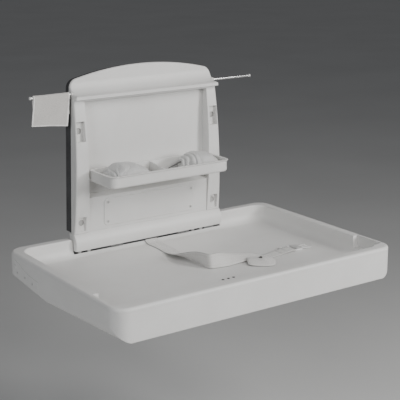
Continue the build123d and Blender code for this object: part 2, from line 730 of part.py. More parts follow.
with BuildPart() as side_caps:
    for side in sides.values():
        rod_x(span(side, half_width + cover_out, half_width + cover_out + 1.6), cap_depth,
              cap_height, 7.0)
finish(side_caps, "side_caps")

with BuildPart() as side_cover_screws:
    for side in sides.values():
        for depth, height in side_screws:
            rod_x(span(side, half_width + cover_out, half_width + cover_out + 1.0), depth,
                  height, 2.6)
finish(side_cover_screws, "side_cover_screws")

# ---------------------------------------------------------------- belt
floor_top = -cavity_depth
strap_half, webbing, clear = 22.0, 2.4, 0.3
with BuildPart() as belt_anchor:
    block((-30, 30), (notch_depth, notch_depth + 1.6), (-61, -47))
    for side in sides.values():
        rod_y(side * anchor_screw_x, anchor_screw_ends, anchor_screw_height, anchor_screw,
              Mode.SUBTRACT)
finish(belt_anchor, "belt_anchor")

with BuildPart() as anchor_screws:
    for side in sides.values():
        x = side * anchor_screw_x
        rod_y(x, anchor_screw_ends, anchor_screw_height, anchor_screw)
        rod_y(x, (anchor_screw_ends[1], anchor_screw_ends[1] + 1.2), anchor_screw_height, 3.2)
finish(anchor_screws, "anchor_screws")

# The strap comes over the cove, lies flat, stands on its edge and ends in a loop.
loop_middle, loop_radius = (142.0, -392.0), 44.0
strap_on_cove = [(-56.5, -49.7), (-46.0, -48.0), (-40.0, -44.7), (-36.2, -41.3)]
with BuildPart() as belt_webbing:
    with BuildSketch(side_plane(-strap_half)):
        over = [(depth, height + webbing) for depth, height in reversed(strap_on_cove)]
        Polygon(*strap_on_cove, *over, align=None)
    extrude(amount=2 * strap_half)
    with BuildSketch(level(floor_top + clear)):
        Polygon((-strap_half, -56), (strap_half, -56), (8, -212), (-28, -206), align=None)
    extrude(amount=webbing)
    with BuildSketch(level(floor_top + clear)):
        link((-10.0, -200.0), (-4.0, -341.0), 14.0)
    extrude(amount=30.0)
    with BuildSketch(level(floor_top + clear)):
        link((-10.0, -341.0), (116.0, -360.0), 8.0)
    extrude(amount=40.0)
    with BuildSketch(level(floor_top + clear)):
        with Locations(loop_middle):
            Circle(loop_radius)
    extrude(amount=34.0)
    with BuildSketch(level(floor_top + clear)):
        link((168.0, -356.0), (252.0, -343.0), 20.0)
    extrude(amount=5.0)
finish(belt_webbing, "belt_webbing")

buckle_turn = -4.0
buckle_plane = level(floor_top + 0.3)
buckle_at = (303.0, -340.0)


def at_buckle(along, across=0.0):
    """A point of the buckle, along the strap's end and across it."""
    return Vector(*buckle_at) + Vector(along, across).rotate(Axis.Z, buckle_turn)


with BuildPart() as buckle_plug:
    with BuildSketch(buckle_plane):
        with Locations(Location(tuple(at_buckle(0)), (0, 0, buckle_turn))):
            RectangleRounded(34.0, 44.0, 4.0)
            with Locations((-9, 0)):
                Rectangle(5.0, 32.0, mode=Mode.SUBTRACT)
    extrude(amount=7.0)
    with BuildSketch(buckle_plane.offset(1.5)):
        with Locations(Location(tuple(at_buckle(30)), (0, 0, buckle_turn))):
            for across in (-14.0, 14.0):
                with Locations((0, across)):
                    RectangleRounded(30.0, 7.0, 3.0)
            Rectangle(28.0, 4.0)
    extrude(amount=4.0)
finish(buckle_plug, "buckle_plug")

with BuildPart() as belt_slide:
    with BuildSketch(buckle_plane):
        with Locations(Location(tuple(at_buckle(-34)), (0, 0, buckle_turn))):
            RectangleRounded(16.0, 40.0, 3.0)
    extrude(amount=4.0)
finish(belt_slide, "belt_slide")
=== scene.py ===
"""Looks of the wall-mounted changing table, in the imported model's frame, in metres.

The moulded plastic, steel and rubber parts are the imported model's own, with finishes made
here. The belt and its buckle, the towel and the two soft packs are built here in place of
their plain solids.
"""
import json
import math

import bmesh
import bpy
from mathutils import Matrix, Vector, noise


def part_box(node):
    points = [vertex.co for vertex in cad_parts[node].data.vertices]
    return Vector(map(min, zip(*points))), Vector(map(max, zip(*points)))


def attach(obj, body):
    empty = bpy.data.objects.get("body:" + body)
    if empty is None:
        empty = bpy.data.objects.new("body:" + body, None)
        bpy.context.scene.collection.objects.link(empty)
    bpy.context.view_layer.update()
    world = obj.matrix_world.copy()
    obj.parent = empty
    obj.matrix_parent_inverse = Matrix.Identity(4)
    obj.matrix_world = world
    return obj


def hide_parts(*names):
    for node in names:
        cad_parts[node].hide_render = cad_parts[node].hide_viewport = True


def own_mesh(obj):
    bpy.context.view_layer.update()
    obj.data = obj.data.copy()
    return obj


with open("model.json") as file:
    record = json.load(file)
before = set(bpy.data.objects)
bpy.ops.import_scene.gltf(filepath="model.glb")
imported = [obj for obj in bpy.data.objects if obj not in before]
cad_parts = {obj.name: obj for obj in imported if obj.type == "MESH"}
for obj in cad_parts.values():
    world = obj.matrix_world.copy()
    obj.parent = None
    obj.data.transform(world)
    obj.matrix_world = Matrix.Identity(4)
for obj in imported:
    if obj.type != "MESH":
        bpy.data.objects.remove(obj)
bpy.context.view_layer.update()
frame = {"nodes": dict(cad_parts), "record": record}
nodes = frame["nodes"]
slots = {part["node"]: part["material_slot"] for part in frame["record"]["subparts"]}
colours = {row["slot"]: row["base_color"][:3] for row in frame["record"]["materials"]}


# ---------------------------------------------------------------- camera, floor and light
def add_camera(place, yaw, pitch, roll, lens):
    """A camera at place, turned yaw to the right of +Y and pitch below level, in degrees."""
    yaw, pitch, roll = (math.radians(angle) for angle in (yaw, pitch, roll))
    forward = Vector((math.sin(yaw) * math.cos(pitch), math.cos(yaw) * math.cos(pitch), -math.sin(pitch)))
    level_right = Vector((math.cos(yaw), -math.sin(yaw), 0))
    level_up = level_right.cross(forward)
    right = math.cos(roll) * level_right + math.sin(roll) * level_up
    up = -math.sin(roll) * level_right + math.cos(roll) * level_up
    data = bpy.data.cameras.new("camera")
    data.sensor_width, data.lens = 36.0, lens
    data.clip_start, data.clip_end = 0.05, 200
    camera = bpy.data.objects.new("camera", data)
    camera.matrix_world = Matrix.Translation(place) @ Matrix((right, up, -forward)).transposed().to_4x4()
    bpy.context.scene.collection.objects.link(camera)
    bpy.context.scene.camera = camera


def add_light(name, place, target, size, power, colour=(1, 1, 1)):
    data = bpy.data.lights.new(name, "AREA")
    data.shape, data.size, data.energy, data.color = "DISK", size, power, colour
    light = bpy.data.objects.new(name, data)
    light.location = place
    light.rotation_mode = "QUATERNION"
    light.rotation_quaternion = (Vector(target) - Vector(place)).to_track_quat("-Z", "Y")
    bpy.context.scene.collection.objects.link(light)


add_camera((-1.6021, -2.6363, 0.6995), yaw=34.63, pitch=14.75, roll=-0.30, lens=96.0)
aim = (0, -0.25, -0.05)
add_light("key", (1.5, -2.2, 2.2), aim, 0.9, 26, (1, 0.985, 0.965))
add_light("front", (0.2, -3.0, 1.9), aim, 0.9, 32, (1, 0.985, 0.965))
add_light("low", (1.7, -3.0, 0.9), aim, 0.9, 56)
add_light("fill", (-2.8, -1.6, 1.0), aim, 1.2, 27, (0.96, 0.98, 1))

world = bpy.data.worlds.new("studio")
world.use_nodes = True
world.node_tree.nodes["Background"].inputs["Color"].default_value = (0.94, 0.96, 1.0, 1)
world.node_tree.nodes["Background"].inputs["Strength"].default_value = 0.11
bpy.context.scene.world = world


# ---------------------------------------------------------------- finishes
class Finish:
    """A material's node graph, with a short call for each node that it uses."""

    def __init__(self, name, roughness=0.5, **inputs):
        self.material = bpy.data.materials.new(name)
        self.material.use_nodes = True
        self.tree = self.material.node_tree
        self.shader = self.tree.nodes["Principled BSDF"]
        self.shader.inputs["Roughness"].default_value = roughness
        for socket, value in inputs.items():
            self.shader.inputs[socket.replace("_", " ")].default_value = value
        coordinates = self.tree.nodes.new("ShaderNodeTexCoord")
        self.place, self.uv = coordinates.outputs["Object"], coordinates.outputs["UV"]

    def node(self, kind, settings=(), **inputs):
        made = self.tree.nodes.new("ShaderNode" + kind)
        for name, value in settings:
            setattr(made, name, value)
        for name, value in inputs.items():
            socket = made.inputs[int(name[1:])] if name[1:].isdigit() else made.inputs[name.replace("_", " ")]
            if isinstance(value, bpy.types.NodeSocket):
                self.tree.links.new(value, socket)
            else:
                socket.default_value = value
        return made

    def math(self, operation, first, second=0.0, third=0.0):
        return self.node("Math", [("operation", operation)], _0=first, _1=second, _2=third).outputs[0]

    def stretched(self, scale, turn=(0, 0, 0), source=None):
        mapping = self.node("Mapping", Vector=source or self.place, Rotation=turn, Scale=scale)
        return mapping.outputs[0]

    def noise(self, scale, detail=2.0, roughness=0.5, source=None):
        made = self.node("TexNoise", Vector=source or self.place, Scale=scale, Detail=detail,
                         Roughness=roughness)
        return made.outputs["Fac"]

    def cells(self, scale, source=None):
        made = self.node("TexVoronoi", [("feature", "SMOOTH_F1")], Vector=source or self.place,
                         Scale=scale, Smoothness=0.6)
        return made.outputs["Distance"]

    def part(self, axis, source=None):
        return self.node("SeparateXYZ", Vector=source or self.place).outputs["XYZ".index(axis)]

    def spread(self, value, low, high, to_low=0.0, to_high=1.0):
        """value from low to high becomes to_low to to_high, and is held at both ends."""
        made = self.node("MapRange", Value=value, From_Min=low, From_Max=high, To_Min=to_low,
                         To_Max=to_high)
        return made.outputs[0]

    def mix(self, share, first, second):
        """A colour between two."""
        def colour(value):
            return value if isinstance(value, bpy.types.NodeSocket) else (*value, 1)
        made = self.node("Mix", [("data_type", "RGBA")], _0=share, _6=colour(first), _7=colour(second))
        return made.outputs[2]

    def bump(self, height, depth, normal=None):
        inputs = {"Height": height, "Distance": depth, "Strength": 1.0}
        if normal is not None:
            inputs["Normal"] = normal
        return self.node("Bump", **inputs).outputs[0]

    def rounded(self, radius):
        """The normal of edges rounded to a radius."""
        return self.node("Bevel", [("samples", 6)], Radius=radius).outputs[0]

    def edges(self, radius):
        """1 along edges and 0 on open faces."""
        flat = self.node("NewGeometry").outputs["True Normal"]
        same = self.node("VectorMath", [("operation", "DOT_PRODUCT")], _0=self.rounded(radius), _1=flat)
        return self.spread(same.outputs["Value"], 0.985, 0.80)

    def set(self, **sockets):
        for name, socket in sockets.items():
            self.tree.links.new(socket, self.shader.inputs[name.replace("_", " ")])
        return self.material


def scaled(colour, share, warmth=0.0):
    return tuple(min(1.0, channel * share + warmth * offset) for channel, offset in zip(colour, (1, 0, -1)))


def moulded_plastic(name, colour, roughness=0.44, grain=1.0, worn_height=None):
    """Textured mouldings: faint mottling, fine grain, light scuffs, and polished edges painted lighter,
    partly as wear and partly as a painted highlight.

    worn_height is the height of a level face that use has scuffed more than the rest.
    """
    finish = Finish(name, IOR=1.5)
    clouds = finish.noise(7.0, 4.0, 0.6)
    specks = finish.noise(70.0, 3.0, 0.7)
    edge = finish.edges(0.0022)
    base = finish.mix(finish.spread(clouds, 0.32, 0.68), scaled(colour, 0.945, 0.004), scaled(colour, 1.02))
    base = finish.mix(finish.spread(specks, 0.35, 0.75, 0.0, 0.5), base, scaled(colour, 0.955))
    scratches = finish.noise(1.0, 3.0, 0.6, finish.stretched((420, 26, 90), (0.2, 0.1, 0.5)))
    crossing = finish.noise(1.0, 3.0, 0.6, finish.stretched((30, 380, 90), (0.1, 0.2, -0.35)))
    marks = finish.math("MAXIMUM", finish.spread(scratches, 0.66, 0.78), finish.spread(crossing, 0.68, 0.80))
    where = finish.spread(finish.noise(4.0, 2.0), 0.46, 0.70, 0.05, 0.55)
    if worn_height is not None:
        off_floor = finish.math("ABSOLUTE", finish.math("SUBTRACT", finish.part("Z"), worn_height))
        on_floor = finish.spread(off_floor, 0.002, 0.006, 1.0, 0.0)
        where = finish.math("MAXIMUM", where, finish.math("MULTIPLY", on_floor, 0.8))
    scuff = finish.math("MULTIPLY", marks, where)
    base = finish.mix(finish.math("MULTIPLY", scuff, 0.55), base, scaled(colour, 1.10))
    # Edges, the concave ones too, are painted lighter: partly wear, partly a painted highlight.
    base = finish.mix(finish.math("MULTIPLY", edge, 0.45), base, scaled(colour, 1.09))
    gloss = finish.math("ADD", finish.spread(clouds, 0.3, 0.7, roughness - 0.05, roughness + 0.06),
                        finish.math("MULTIPLY", scuff, 0.22))
    gloss = finish.math("SUBTRACT", gloss, finish.math("MULTIPLY", edge, 0.07))
    pebbles = finish.math("ADD", finish.cells(900.0), finish.noise(1500.0, 2.0))
    normal = finish.bump(finish.noise(22.0, 1.0), 0.0005, finish.rounded(0.0013))
    normal = finish.bump(scuff, -0.00010, normal)
    normal = finish.bump(pebbles, 0.00007 * grain, normal)
    return finish.set(Base_Color=base, Roughness=gloss, Normal=normal)


def glossy_plastic(name, colour):
    """Injection-moulded fittings, smoother than the panels."""
    finish = Finish(name, IOR=1.49, Coat_Weight=0.12, Coat_Roughness=0.25)
    clouds = finish.noise(60.0, 3.0, 0.6)
    edge = finish.edges(0.0008)
    base = finish.mix(finish.spread(clouds, 0.3, 0.7), scaled(colour, 0.92), scaled(colour, 1.03))
    # Edges are painted lighter: partly wear, partly a painted highlight.
    base = finish.mix(finish.math("MULTIPLY", edge, 0.5), base, scaled(colour, 1.2))
    normal = finish.bump(finish.noise(900.0, 2.0), 0.00003, finish.rounded(0.0005))
    gloss = finish.spread(clouds, 0.3, 0.7, 0.26, 0.38)
    return finish.set(Base_Color=base, Roughness=gloss, Normal=normal)


def powder_coat(name, colour):
    """Matt black steel with the coat's orange peel, its edges painted grey, partly as thin coat and partly as
    a painted highlight.
    """
    finish = Finish(name, IOR=1.5)
    peel = finish.noise(650.0, 2.0, 0.4)
    edge = finish.edges(0.0010)
    clouds = finish.spread(finish.noise(16.0, 3.0), 0.3, 0.7)
    base = finish.mix(clouds, scaled(colour, 0.8), scaled(colour, 1.25))
    # Edges painted grey: partly thin coat, partly a painted highlight.
    base = finish.mix(finish.math("MULTIPLY", edge, 0.35), base, (0.30, 0.30, 0.31))
    gloss = finish.spread(finish.noise(40.0, 3.0), 0.3, 0.7, 0.44, 0.60)
    return finish.set(Base_Color=base, Roughness=gloss,
                      Normal=finish.bump(peel, 0.00012, finish.rounded(0.0006)))


def bare_steel(name, colour, brush, roughness):
    """Steel with its brushing or turning lines along one direction."""
    finish = Finish(name, Metallic=1.0, Anisotropic=0.3)
    lines = finish.noise(1.0, 4.0, 0.7, finish.stretched(brush))
    smears = finish.noise(30.0, 3.0, 0.6)
    base = finish.mix(finish.spread(smears, 0.3, 0.7), scaled(colour, 0.90), scaled(colour, 1.08))
    gloss = finish.math("ADD", finish.spread(lines, 0.3, 0.7, roughness - 0.06, roughness + 0.06),
                        finish.spread(smears, 0.4, 0.8, 0.0, 0.10))
    return finish.set(Base_Color=base, Roughness=gloss,
                      Normal=finish.bump(lines, 0.00003, finish.rounded(0.0004)))


def stop_rubber(name, colour):
    finish = Finish(name, roughness=0.8)
    dust = finish.noise(120.0, 4.0, 0.7)
    base = finish.mix(finish.spread(dust, 0.4, 0.8), colour, scaled(colour, 1.9))
    return finish.set(Base_Color=base, Normal=finish.bump(finish.noise(900.0, 3.0), 0.00015))


def woven_webbing(name, colour):
    """Belt webbing: ribs across it and cords along it, on the strap's own lengthwise UVs."""
    finish = Finish(name, roughness=0.72, Sheen_Weight=0.35, Sheen_Roughness=0.45)
    pick_pitch, cord_pitch = 0.0024, 0.0030
    along, across = finish.part("X", finish.uv), finish.part("Y", finish.uv)
    pick = finish.math("SINE", finish.math("MULTIPLY", along, 2 * math.pi / pick_pitch))
    cords = finish.math("SINE", finish.math("MULTIPLY", across, 2 * math.pi / cord_pitch))
    over = finish.math("MULTIPLY", pick, cords)
    height = finish.math("ADD", finish.math("ABSOLUTE", over), finish.math("MULTIPLY", over, 0.25))
    thread = finish.noise(2600.0, 2.0)
    from_middle = finish.math("ABSOLUTE", across)
    selvedge_and_edge_shadow = finish.spread(from_middle, 0.0196, 0.0202)
    stripe = finish.math("SUBTRACT", finish.spread(from_middle, 0.0108, 0.0112),
                         finish.spread(from_middle, 0.0134, 0.0138))
    base = finish.mix(finish.spread(height, 0.1, 0.9), scaled(colour, 0.92), scaled(colour, 1.24))
    base = finish.mix(finish.math("MULTIPLY", stripe, 0.35), base, scaled(colour, 0.85))
    # Dark lines along both edges: partly the woven selvedge and partly painted shadow along the strap's
    # edges.
    base = finish.mix(finish.math("MULTIPLY", selvedge_and_edge_shadow, 0.8), base, scaled(colour, 0.48))
    fading = finish.spread(finish.noise(35.0, 3.0), 0.5, 0.8, 0.0, 0.35)
    base = finish.mix(fading, base, scaled(colour, 0.82, 0.012))
    normal = finish.bump(height, 0.00028)
    return finish.set(Base_Color=base, Normal=finish.bump(thread, 0.00008, normal))


def terry_cloth(name, colour, width, length):
    """Looped pile with smooth hems painted lighter as a highlight, for cloth cut to a width and length."""
    finish = Finish(name, roughness=0.92, Sheen_Weight=0.5, Sheen_Roughness=0.5)
    rib_pitch, hem_outer, hem_inner = 0.0016, 0.0048, 0.0040
    along, across = finish.part("Y", finish.uv), finish.part("X", finish.uv)
    loops = finish.cells(640.0, finish.node("CombineXYZ", X=across, Y=along).outputs[0])
    to_side = finish.math("MINIMUM", across, finish.math("SUBTRACT", width, across))
    to_end = finish.math("MINIMUM", along, finish.math("SUBTRACT", length, along))
    hem = finish.spread(finish.math("MINIMUM", to_side, to_end), hem_outer, hem_inner)
    rib = finish.math("SINE", finish.math("MULTIPLY", along, 2 * math.pi / rib_pitch))
    fluff = finish.noise(1500.0, 3.0, 0.7)
    pile = finish.math("MULTIPLY", finish.math("ADD", loops, fluff), finish.math("SUBTRACT", 1.0, hem))
    height = finish.math("ADD", pile, finish.math("MULTIPLY", finish.math("MULTIPLY", rib, hem), 0.15))
    base = finish.mix(finish.spread(loops, 0.1, 0.7), scaled(colour, 0.90, 0.012),
                      scaled(colour, 0.72, 0.012))
    # The hems are painted lighter than the pile: a painted highlight.
    base = finish.mix(finish.math("MULTIPLY", hem, 0.9), base, scaled(colour, 1.2))
    fading = finish.spread(finish.noise(28.0, 3.0), 0.45, 0.8, 0.0, 0.4)
    base = finish.mix(fading, base, scaled(colour, 0.93, 0.01))
    return finish.set(Base_Color=base, Normal=finish.bump(height, 0.0009))


def soft_cotton(name, colour):
    """Plain-woven cotton for the packs, woven in space so that it needs no UVs."""
    finish = Finish(name, roughness=0.85, Sheen_Weight=0.3, Sheen_Roughness=0.5)
    waves = [finish.math("SINE", finish.math("MULTIPLY", finish.part(axis), 2 * math.pi / pitch))
             for axis, pitch in (("X", 0.0016), ("Y", 0.0018), ("Z", 0.0017))]
    weave = finish.math("MULTIPLY", waves[0], finish.math("ADD", waves[1], waves[2]))
    slub = finish.noise(1.0, 3.0, 0.6, finish.stretched((900, 60, 500)))
    base = finish.mix(finish.spread(weave, -1.2, 1.2), scaled(colour, 0.78, -0.008),
                      scaled(colour, 0.88, -0.008))
    base = finish.mix(finish.spread(slub, 0.5, 0.8, 0.0, 0.3), base, scaled(colour, 0.72))
    clouds = finish.spread(finish.noise(24.0, 4.0), 0.4, 0.75, 0.0, 0.45)
    base = finish.mix(clouds, base, scaled(colour, 0.74))
    creases = finish.noise(140.0, 4.0, 0.65)
    normal = finish.bump(creases, 0.0009)
    return finish.set(Base_Color=base, Normal=finish.bump(weave, 0.00012, normal))


def pale_floor(name):
    finish = Finish(name, roughness=0.75)
    clouds = finish.noise(1.3, 3.0)
    base = finish.mix(finish.spread(clouds, 0.3, 0.7), (0.70, 0.70, 0.69), (0.74, 0.74, 0.73))
    return finish.set(Base_Color=base)


bed_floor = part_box("drain_bushes")[1].z
towel_width, front_drop, rear_drop, turn_radius = 0.110, 0.0815, 0.0600, 0.0053
over_rail = math.pi * turn_radius
towel_length = front_drop + over_rail + rear_drop
finishes = {
    "panel_plastic": moulded_plastic("panel_plastic", colours["panel_plastic"]),
    "bed_plastic": moulded_plastic("bed_plastic", colours["bed_plastic"], 0.46, 1.0, bed_floor),
    "tray_plastic": moulded_plastic("tray_plastic", colours["tray_plastic"], 0.38, 0.5),
    "trim_plastic": glossy_plastic("trim_plastic", colours["trim_plastic"]),
    "buckle_plastic": glossy_plastic("buckle_plastic", colours["buckle_plastic"]),
    "bush_plastic": glossy_plastic("bush_plastic", colours["bush_plastic"]),
    "frame_steel": powder_coat("frame_steel", colours["frame_steel"]),
    "zinc_screws": bare_steel("zinc_screws", colours["zinc_screws"], (900, 900, 900), 0.36),
    "bright_steel": bare_steel("bright_steel", colours["bright_steel"], (25, 1500, 1500), 0.24),
    "stop_rubber": stop_rubber("stop_rubber", colours["stop_rubber"]),
    "webbing": woven_webbing("webbing", colours["webbing"]),
    "towel_cloth": terry_cloth("towel_cloth", colours["towel_cloth"], towel_width, towel_length),
    "pack_cloth": soft_cotton("pack_cloth", colours["pack_cloth"]),
}
for node, slot in slots.items():
    nodes[node].data.materials.clear()
    nodes[node].data.materials.append(finishes[slot])
# The drain bushes are made near black; the bolt plugs are made darker than their slot as painted shade of the
# pocket's recess.
for node, share in (("drain_bushes", 0.09), ("bolt_plugs", 0.68)):
    nodes[node].data.materials[0] = glossy_plastic(node, scaled(colours[slots[node]], share))


# ---------------------------------------------------------------- building pieces
def add_piece(name, mesh, body, slot, stands_for=()):
    """A piece in the scene that rides a body and takes a slot's finish."""
    piece = bpy.data.objects.new(name, mesh)
    bpy.context.scene.collection.objects.link(piece)
    mesh.materials.append(finishes[slot])
    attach(piece, body)
    if stands_for:
        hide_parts(*stands_for)
    return piece


def smooth(mesh):
    for face in mesh.polygons:
        face.use_smooth = True


def applied(piece, *modifiers):
    """Adds modifiers to a piece, given as (type, settings), and makes them its mesh."""
    for kind, settings in modifiers:
        modifier = piece.modifiers.new(kind.lower(), kind)
        for name, value in settings.items():
            setattr(modifier, name, value)
    bpy.context.view_layer.update()
    made = bpy.data.meshes.new_from_object(piece.evaluated_get(bpy.context.evaluated_depsgraph_get()))
    piece.modifiers.clear()
    piece.data = made
    smooth(made)


def curve_through(points, steps):
    """Points on a smooth curve through the given ones, steps to each span."""
    padded = [points[0] * 2 - points[1], *points, points[-1] * 2 - points[-2]]
    made = []
    for before, start, end, after in zip(padded, padded[1:], padded[2:], padded[3:]):
        for step in range(steps):
            t = step / steps
            made.append(0.5 * (2 * start + (end - before) * t
                               + (2 * before - 5 * start + 4 * end - after) * t * t
                               + (3 * start - before - 3 * end + after) * t ** 3))
    return [*made, points[-1]]


def strip_mesh(name, left, right, thickness, inset=0.0008, start=0.0, width=0.042):
    """A flat strap between two edge lines, with rounded edges and UVs in metres.

    U runs along the strap, counted from start. V runs across it, from its middle, as on a
    strap of the given width.
    """
    mesh = bpy.data.meshes.new(name)
    bm = bmesh.new()
    uv_layer = bm.loops.layers.uv.new("strap")
    rings, lengths, run = [], [], start
    for index, (a, b) in enumerate(zip(left, right)):
        after = min(index + 1, len(left) - 1)
        before = max(index - 1, 0)
        forward = (left[after] + right[after]) - (left[before] + right[before])
        across = b - a
        normal = across.cross(forward).normalized() * thickness / 2
        along = across.normalized() * inset
        shares = (0.25, 0.5, 0.75)
        top = [a + along + normal, *[a.lerp(b, t) + normal for t in shares], b - along + normal]
        low = [b - along - normal, *[b.lerp(a, t) - normal for t in shares], a + along - normal]
        sides = [-width / 2 + inset, *[(t - 0.5) * width for t in shares], width / 2 - inset]
        v = [*sides, width / 2, *reversed(sides), -width / 2]
        rings.append(([bm.verts.new(point) for point in (*top, b, *low, a)], v))
        if index:
            run += ((a + b) / 2 - (left[index - 1] + right[index - 1]) / 2).length
        lengths.append(run)
    for (ring, v), (onward, v_on), u, u_on in zip(rings, rings[1:], lengths, lengths[1:]):
        for i in range(len(ring)):
            j = (i + 1) % len(ring)
            face = bm.faces.new((ring[i], ring[j], onward[j], onward[i]))
            for loop, place in zip(face.loops, ((u, v[i]), (u, v[j]), (u_on, v_on[j]), (u_on, v_on[i]))):
                loop[uv_layer].uv = place
    for end in (bm.faces.new(rings[0][0]), bm.faces.new(list(reversed(rings[-1][0])))):
        for edge in end.edges:
            edge.smooth = False
    bmesh.ops.recalc_face_normals(bm, faces=bm.faces)
    bm.to_mesh(mesh)
    bm.free()
    smooth(mesh)
    return mesh


# ---------------------------------------------------------------- belt
# Places on the bed are measured as in the CAD: depth from its rear edge, height from its
# rim, in millimetres.
bed_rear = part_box("bed_upper_shell")[1].y
rim_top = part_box("bed_upper_shell")[1].z


def on_bed(x, depth, height):
    return Vector((x / 1000, bed_rear + depth / 1000, rim_top + height / 1000))


belt_width, belt_thickness = 42.0, 0.0017   # in millimetres and in metres
belt_ground = -50   # the height that the strap's stations are counted from
# The strap's stations: x and depth of its middle, the height of its lower edge over the
# ground, then the bearing and tilt of its width, in degrees. It comes out from under the
# wall panel and lies flat, rolls on to its edge, turns and lies back, goes round a loop, and
# doubles under itself to reach the buckle. The places are rounded from an earlier route,
# which was measured on the photo by a program.
belt_stations = [
    (0, -38, 10, 0, 0), (0, -46, 4, 0, 0), (0, -60, 1.2, 0, 0), (0, -100, 1.2, 0, 0), (-5, -150, 1.2, 0, 0),
    (-20, -230, 1.2, 0, -25), (-10, -300, 1.2, 0, -70), (-5, -345, 1.2, -60, -85), (20, -350, 1.2, -90, -75),
    (60, -345, 1.2, -100, -45), (100, -340, 3, -105, -25), (150, -345, 6, -140, -5), (170, -380, 5, -190, 15),
    (150, -410, 1.5, -245, 20), (125, -390, 1.5, -290, 20), (110, -370, 4, -300, 10),
    (130, -362, 1.2, -285, 0), (205, -350, 1.2, -270, 0), (288, -341, 3.5, -268, 0),
]


def strap_edges(stations, steps, width, ground):
    """The two edge lines of a strap of even width, on smooth curves through its stations."""
    lines = ([], [])
    for x, depth, low, bearing, tilt in curve_through([Vector(station) for station in stations], steps):
        bearing, tilt = math.radians(bearing), math.radians(tilt)
        half = Vector((math.cos(tilt) * math.cos(bearing), math.cos(tilt) * math.sin(bearing),
                       math.sin(tilt)))
        half *= width / 2000
        middle = on_bed(x, depth, ground + low) + Vector((0, 0, abs(half.z)))
        lines[0].append(middle - half)
        lines[1].append(middle + half)
    return lines


steps = 8
flat_until = 4 * steps   # the strap lies on the floor here, so it is made in two pieces
edges = strap_edges(belt_stations, steps, belt_width, belt_ground)
middles = [(a + b) / 2 for a, b in zip(*edges)]
flat_run = sum((b - a).length for a, b in zip(middles[:flat_until], middles[1:flat_until + 1]))
anchored = [line[:flat_until + 1] for line in edges]
loose = [line[flat_until:] for line in edges]
add_piece("belt_tail", strip_mesh("belt_tail", *anchored, thickness=belt_thickness), "bed", "webbing",
          ["belt_webbing"])
belt_strap = add_piece("belt_strap", strip_mesh("belt_strap", *loose, thickness=belt_thickness,
                                                start=flat_run),
                       "bed", "webbing", ["belt_webbing"])

# The strap's end comes back over the buckle's bar and is sewn down.
return_route = [
    ((289.5, -360, -46.4), (288.5, -321, -46.4)), ((290.5, -360, -45.2), (289.5, -321, -45.2)),
    ((288, -360, -44.2), (287, -321, -44.2)), ((278, -362, -44.9), (277, -322, -44.9)),
    ((262, -363.5, -46.4), (262, -323, -46.4)), ((240, -365.5, -46.9), (240, -325, -46.9)),
]
return_edges = [curve_through([on_bed(*pair[side]) for pair in return_route], 6) for side in (0, 1)]
add_piece("belt_return", strip_mesh("belt_return", *return_edges, thickness=0.0016), "bed", "webbing")


def stitch_line(name, points, body, pitch=0.0032, size=0.0004):
    """Thread stitches along a line, as short raised lozenges."""
    mesh = bpy.data.meshes.new(name)
    bm = bmesh.new()
    for start, end in zip(points, points[1:]):
        count = max(1, round((end - start).length / pitch))
        along = (end - start).normalized()
        for i in range(count):
            middle = start.lerp(end, (i + 0.5) / count)
            made = bmesh.ops.create_icosphere(bm, subdivisions=1, radius=size)["verts"]
            turn = along.to_track_quat("X", "Z").to_matrix().to_4x4()
            place = Matrix.Translation(middle) @ turn @ Matrix.Diagonal((pitch * 0.38 / size, 1, 0.8, 1))
            bmesh.ops.transform(bm, matrix=place, verts=made)
    bm.to_mesh(mesh)
    bm.free()
    smooth(mesh)
    return add_piece(name, mesh, body, "webbing")


stitch_ends, stitch_height = (-361, -329), -45.9
for row, x in enumerate((243, 248)):
    stitch_line(f"belt_stitches_{row}", [on_bed(x, depth, stitch_height) for depth in stitch_ends], "bed")


# ---------------------------------------------------------------- buckle
def prisms(name, outlines, place, bevel):
    """One mesh of upright prisms, each (outline, low, high) in millimetres, with rounded edges."""
    mesh = bpy.data.meshes.new(name)
    bm = bmesh.new()
    for outline, low, high in outlines:
        rings = [[bm.verts.new(Vector((x, y, z)) / 1000) for x, y in outline] for z in (low, high)]
        bm.faces.new(list(reversed(rings[0])))
        bm.faces.new(rings[1])
        for i in range(len(outline)):
            j = (i + 1) % len(outline)
            bm.faces.new((rings[0][i], rings[0][j], rings[1][j], rings[1][i]))
    bmesh.ops.recalc_face_normals(bm, faces=bm.faces)
    bmesh.ops.bevel(bm, geom=list(bm.edges), offset=bevel / 1000, segments=2, affect="EDGES",
                    clamp_overlap=True, profile=0.6)
    bmesh.ops.transform(bm, matrix=place, verts=bm.verts)
    bm.to_mesh(mesh)
    bm.free()
    return mesh


def bar(along, across):
    """A rectangle's outline from its limits."""
    return [(along[0], across[0]), (along[1], across[0]), (along[1], across[1]), (along[0], across[1])]


def flipped(outline):
    return [(x, -y) for x, y in reversed(outline)]


